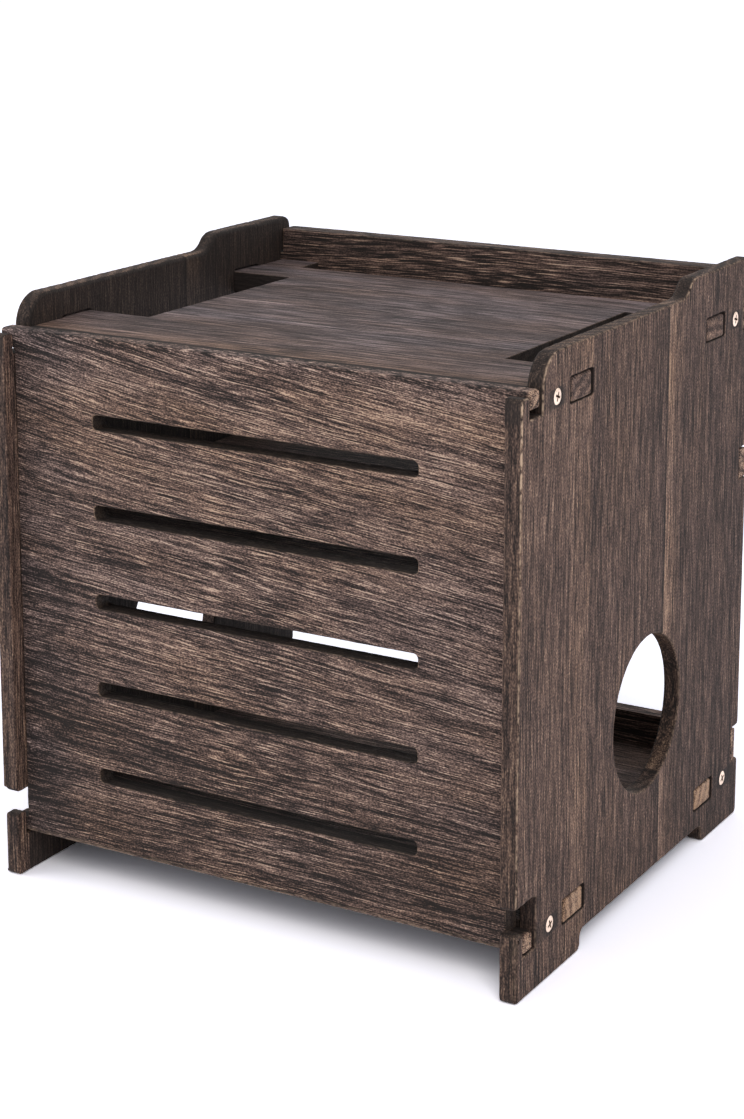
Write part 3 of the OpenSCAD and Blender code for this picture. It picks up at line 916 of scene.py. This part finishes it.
class ROUTERBOX_OT_screws(bpy.types.Operator):
    """Build the countersunk screws with their cross recesses"""

    bl_idname = "routerbox.screws"
    bl_label = "Screws"
    bl_options = {"REGISTER", "UNDO"}

    def execute(self, context):
        """Turns a screw for each solid of the two screw nodes, each driven home at its own angle."""
        metal = material_named("plated_brass", plated_brass)
        sizes = context.scene.screw_sizes
        kinds = (("case_screws", X, sizes.case_shank), ("rail_screws", Y, sizes.rail_shank))
        for node, axis, shank in kinds:
            mesh = bmesh.new()
            mesh.verts.layers.float.new("char_and_shade")
            for number, (low, high) in enumerate(solid_boxes(node)):
                middle = (low + high) / 2
                outward = Vector((0, 0, 0))
                outward[axis] = 1 if axis == Y or middle.x > 0 else -1
                crown = middle + outward * (high[axis] - low[axis]) / 2
                turn = Matrix.Rotation(sizes.start_turn + sizes.next_turn * number, 4, outward)
                upright = outward.to_track_quat("Z", "Y").to_matrix().to_4x4()
                frame_of = Matrix.Translation(crown) @ turn @ upright
                head = (high.z - low.z) / 2 - sizes.gap
                self.turn_screw(mesh, frame_of, head, shank / 2, high[axis] - low[axis])
            data = bpy.data.meshes.new(node + ".turned")
            mesh.to_mesh(data)
            mesh.free()
            data.shade_smooth()
            data.set_sharp_from_angle(angle=math.radians(28))
            piece = bpy.data.objects.new(node + ".turned", data)
            context.scene.collection.objects.link(piece)
            dress(piece, node, metal)
        return {"FINISHED"}

    def turn_screw(self, mesh, place, head, shank, length):
        """Adds one screw whose crown lies at the origin of place and whose tip points down its Z axis."""
        sizes = bpy.context.scene.screw_sizes
        arm, web = sizes.recess_arm * head, sizes.recess_web * head
        corner = math.atan2(web, arm)
        halves = (0, 0.5 * corner, corner, 0.6 * corner + 0.1 * math.pi, 0.2 * math.pi)
        quarter = [*halves, math.pi / 4, *(math.pi / 2 - angle for angle in reversed(halves[1:]))]
        angles = [math.pi / 2 * side + angle for side in range(4) for angle in quarter]

        def cross(angle):
            """Distance from the middle to the edge of the cross recess."""
            turn = (angle + math.pi / 4) % (math.pi / 2) - math.pi / 4
            return arm / math.cos(turn) if abs(turn) <= corner + 1e-6 else web / math.sin(abs(turn))

        deep = sizes.recess_depth
        neck = sizes.crown + head - shank
        # The last number of each ring is the painted shade of the cross recess: full inside it, slight at
        # its mouth.
        rings = (
            [(0.4 * cross(a), -deep, 1) for a in angles],
            [(0.94 * cross(a), -0.12 * deep, 1) for a in angles],
            [(1.06 * cross(a), 0, 0.2) for a in angles],
            [(0.72 * head, -0.12 * sizes.crown, 0)] * len(angles),
            [(0.9 * head, -0.45 * sizes.crown, 0)] * len(angles),
            [(head, -sizes.crown, 0)] * len(angles),
            [(shank, -neck, 0)] * len(angles),
            [(shank, 2 * shank - length, 0)] * len(angles),
        )
        char_and_shade = mesh.verts.layers.float["char_and_shade"]
        made = []
        for ring in rings:
            verts = []
            for angle, (radius, level, dark) in zip(angles, ring):
                spot = Vector((radius * math.cos(angle), radius * math.sin(angle), level))
                vert = mesh.verts.new(place @ spot)
                vert[char_and_shade] = dark
                verts.append(vert)
            made.append(verts)
        for inner, outer in zip(made, made[1:]):
            for i, vert in enumerate(inner):
                j = (i + 1) % len(inner)
                mesh.faces.new((vert, outer[i], outer[j], inner[j]))
        for ring, level, flip in ((made[0], -deep, False), (made[-1], -length, True)):
            middle = mesh.verts.new(place @ Vector((0, 0, level)))
            # The middle of the recess floor gets full painted shade, the tip none.
            middle[char_and_shade] = 0 if flip else 1
            for i, vert in enumerate(ring):
                pair = (vert, ring[(i + 1) % len(ring)])
                mesh.faces.new((middle, *(reversed(pair) if flip else pair)))


class ROUTERBOX_OT_stage(bpy.types.Operator):
    """Set up the floor, the lamps and the camera"""

    bl_idname = "routerbox.stage"
    bl_label = "Stage"
    bl_options = {"REGISTER", "UNDO"}

    def execute(self, context):
        """Lays a white floor under soft light and stands the camera where the photograph was taken."""
        scene = context.scene
        view = scene.stage_values
        scene.view_settings.view_transform = "Standard"

        bpy.ops.mesh.primitive_plane_add(size=view.floor_size, location=(0, 0, 0))
        floor = context.active_object
        floor.name = "studio_floor"
        paper_seen, paper_bounced = (1.86, 1.82, 1.9), 0.8
        floor.data.materials.append(studio_white("studio_white", paper_seen, paper_bounced))

        world = bpy.data.worlds.new("studio_sky")
        world.use_nodes = True
        tree = world.node_tree
        tree.nodes.clear()
        strength = add(tree, "MapRange", {0: seen_rays(tree), 3: view.sky, 4: 1.0})
        hue = mixed(tree, seen_rays(tree), (0.76, 0.79, 0.86), (1, 1, 1))
        sky = add(tree, "Background", {"Color": hue, "Strength": strength})
        add(tree, "OutputWorld", {"Surface": sky})
        scene.world = world

        aim = Vector((0, 0, 0.15))
        for name, place, power, width in (
            ("key_softbox", (1.4, -1.8, 1.9), view.key, 1.2),
            ("fill_softbox", (-1.9, -1.2, 1.3), view.fill, 1.4),
        ):
            data = bpy.data.lights.new(name, "AREA")
            data.energy = power
            data.size = width
            data.color = (1, 0.98, 0.94)
            lamp = bpy.data.objects.new(name, data)
            lamp.location = place
            lamp.rotation_euler = (aim - Vector(place)).to_track_quat("-Z", "Y").to_euler()
            scene.collection.objects.link(lamp)

        # Lens, place and tilt were fitted to the corners of the box in the photograph.
        data = bpy.data.cameras.new("photo_camera")
        data.sensor_width = 36
        data.lens = 78.159
        data.shift_y = (MIDDLE_LINE - PHOTO_H / 2) / PHOTO_H
        data.clip_start = 0.05
        camera = bpy.data.objects.new("photo_camera", data)
        camera.location = (0.62012, -1.07343, 0.5286)
        camera.rotation_euler = (math.radians(90 - 11.37), 0, math.radians(30.295))
        scene.collection.objects.link(camera)
        scene.camera = camera
        return {"FINISHED"}


class StageValues(bpy.types.PropertyGroup):
    """Light and floor of the studio."""

    sky: FloatProperty(name="Sky", description="Strength of the light from all round", default=0.75, min=0)
    key: FloatProperty(
        name="Key", description="Power of the softbox on the right", default=22, min=0, unit="POWER"
    )
    fill: FloatProperty(
        name="Fill", description="Power of the softbox on the left", default=12, min=0, unit="POWER"
    )
    floor_size: FloatProperty(
        name="Floor", description="Width of the floor", default=60, min=1, subtype="DISTANCE"
    )


class ROUTERBOX_PT_panel(bpy.types.Panel):
    """Sizes and colours of the box, with a button for each piece"""

    bl_idname = "ROUTERBOX_PT_panel"
    bl_label = "Router storage box"
    bl_space_type = "VIEW_3D"
    bl_region_type = "UI"
    bl_category = "Router Box"

    def draw(self, context):
        """Lists the values and the operators."""
        for group in PROPERTY_GROUPS:
            column = self.layout.column(align=True)
            for key in PROPERTY_GROUPS[group].__annotations__:
                column.prop(getattr(context.scene, group), key)
        for operator in OPERATORS:
            self.layout.operator(operator.bl_idname)


PROPERTY_GROUPS = {
    "board_sizes": BoardSizes,
    "screw_sizes": ScrewSizes,
    "box_colours": BoxColours,
    "stage_values": StageValues,
}
OPERATORS = (
    ROUTERBOX_OT_stage,
    ROUTERBOX_OT_side_panels,
    ROUTERBOX_OT_front_panel,
    ROUTERBOX_OT_boards,
    ROUTERBOX_OT_rails,
    ROUTERBOX_OT_screws,
)


def register():
    """Registers the property groups, the operators and the panel."""
    for name, group in PROPERTY_GROUPS.items():
        bpy.utils.register_class(group)
        setattr(bpy.types.Scene, name, PointerProperty(type=group))
    for kind in (*OPERATORS, ROUTERBOX_PT_panel):
        bpy.utils.register_class(kind)


def unregister():
    """Takes back what register added."""
    for kind in (ROUTERBOX_PT_panel, *reversed(OPERATORS)):
        bpy.utils.unregister_class(kind)
    for name, group in reversed(PROPERTY_GROUPS.items()):
        delattr(bpy.types.Scene, name)
        bpy.utils.unregister_class(group)


def main():
    """Builds the whole scene."""
    register()
    for operator in OPERATORS:
        group, name = operator.bl_idname.split(".")
        getattr(getattr(bpy.ops, group), name)()


if __name__ == "__main__":
    main()
